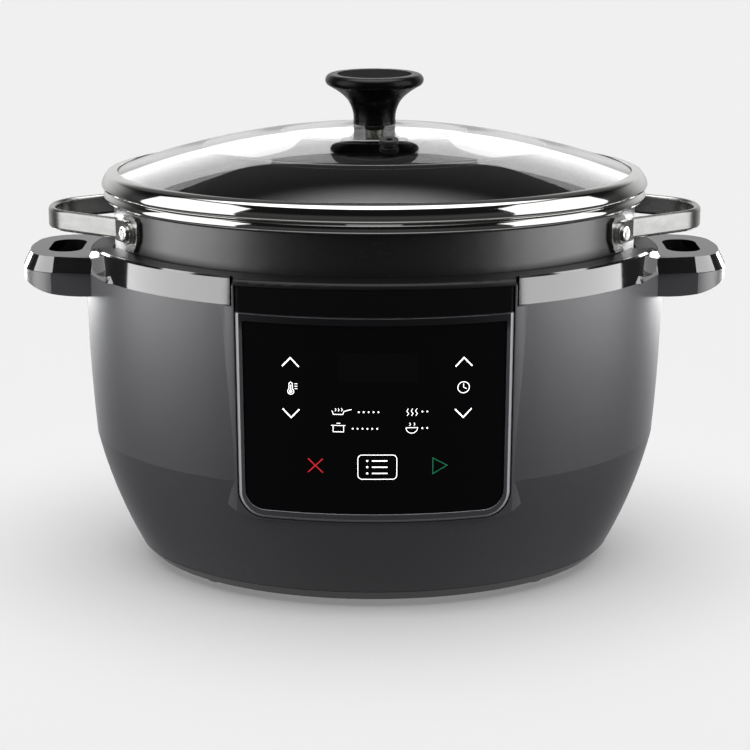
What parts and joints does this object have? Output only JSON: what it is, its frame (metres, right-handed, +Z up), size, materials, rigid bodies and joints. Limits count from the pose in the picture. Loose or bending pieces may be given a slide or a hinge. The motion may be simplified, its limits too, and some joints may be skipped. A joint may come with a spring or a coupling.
{
  "type": "slow cooker",
  "caption": "Oval electric slow cooker with a lift-out non-stick pot on loop handles, domed glass lid with a knob, touch control panel and carrying handles.",
  "frame": {"origin": "on the table surface under the middle of the cooker, at the bottom centre of its bounding box", "axes": "+Z up, +X to the right across the two carrying handles, the control panel faces -Y"},
  "size_m": [0.422, 0.2739, 0.2933],
  "materials": {
    "body_paint": "satin",
    "base_plastic": "fine texture",
    "foot_rubber": "matt",
    "zinc_screws": "zinc plate",
    "deck_plastic": "satin",
    "gloss_trim": "piano black",
    "grip_plastic": "satin",
    "bezel_satin": "satin",
    "gloss_strip": "piano black",
    "touch_glass": "black touch panel",
    "touch_film": "smooth",
    "inner_plastic": "moulded",
    "circuit_board": "solder mask",
    "display_plastic": "smooth",
    "liner_steel": "drawn",
    "cast_aluminium": "machined",
    "element_steel": "heat darkened",
    "glass_wool": "felted",
    "spring_steel": "drawn",
    "transformer_iron": "taped",
    "relay_case": "moulded",
    "capacitor_can": "sleeved",
    "contact_brass": "bright",
    "wire_insulation": "silicone",
    "ribbon_grey": "smooth",
    "pot_coating": "speckled non-stick",
    "polished_steel": "polished stainless",
    "satin_steel": "satin stainless",
    "lid_glass": "clear tempered",
    "black_silicone": "matt",
    "gloss_knob": "gloss phenolic"
  },
  "bodies": {
    "base": {"outer_housing": "body_paint", "base_cover": "base_plastic", "feet": "foot_rubber", "base_screws": "zinc_screws", "deck_ring": "deck_plastic", "trim_right": "gloss_trim", "trim_left": "gloss_trim", "grip_right": "grip_plastic", "grip_left": "grip_plastic", "handle_screws": "zinc_screws", "control_bezel": "bezel_satin", "top_strip": "gloss_strip", "panel_glass": "touch_glass", "touch_film": "touch_film", "panel_carrier": "inner_plastic", "control_board": "circuit_board", "display_module": "display_plastic", "board_screws": "zinc_screws", "inner_liner": "liner_steel", "heating_plate": "cast_aluminium", "plate_pillars": "liner_steel", "heating_element": "element_steel", "heat_shield": "liner_steel", "insulation": "glass_wool", "sensor_bracket": "liner_steel", "sensor_spring": "spring_steel", "thermal_fuse": "zinc_screws", "power_board": "circuit_board", "board_standoffs": "inner_plastic", "transformer": "transformer_iron", "relay": "relay_case", "capacitors": "capacitor_can", "buzzer": "inner_plastic", "mains_inlet": "base_plastic", "inlet_pins": "contact_brass", "inlet_screws": "zinc_screws", "mains_wires": "wire_insulation", "element_wires": "wire_insulation", "ribbon_cable": "ribbon_grey"},
    "sensor": {"temperature_sensor": "cast_aluminium"},
    "pot": {"cooking_pot": "pot_coating", "pot_rim_band": "polished_steel", "pot_brackets": "satin_steel", "pot_rivets": "satin_steel", "pot_handle_right": "satin_steel", "pot_handle_left": "satin_steel"},
    "lid": {"lid_glass": "lid_glass", "lid_band": "polished_steel", "vent_grommet": "black_silicone", "knob": "gloss_knob", "knob_cap": "gloss_knob", "knob_washer": "polished_steel", "glass_washer": "black_silicone", "knob_screw": "zinc_screws"}
  },
  "joints": [
    {"name": "pot_lift", "type": "slide", "parent": "base", "child": "pot", "axis": [0, 0, 1], "range_m": [0, 0.2]},
    {"name": "lid_lift", "type": "slide", "parent": "pot", "child": "lid", "axis": [0, 0, 1], "range_m": [0, 0.12]},
    {"name": "sensor_press", "type": "slide", "parent": "base", "child": "sensor", "axis": [0, 0, 1], "range_m": [-0.003, 0], "stiffness_N_per_m": 250, "springref_m": 0.002, "deforming": ["sensor_spring"]}
  ]
}
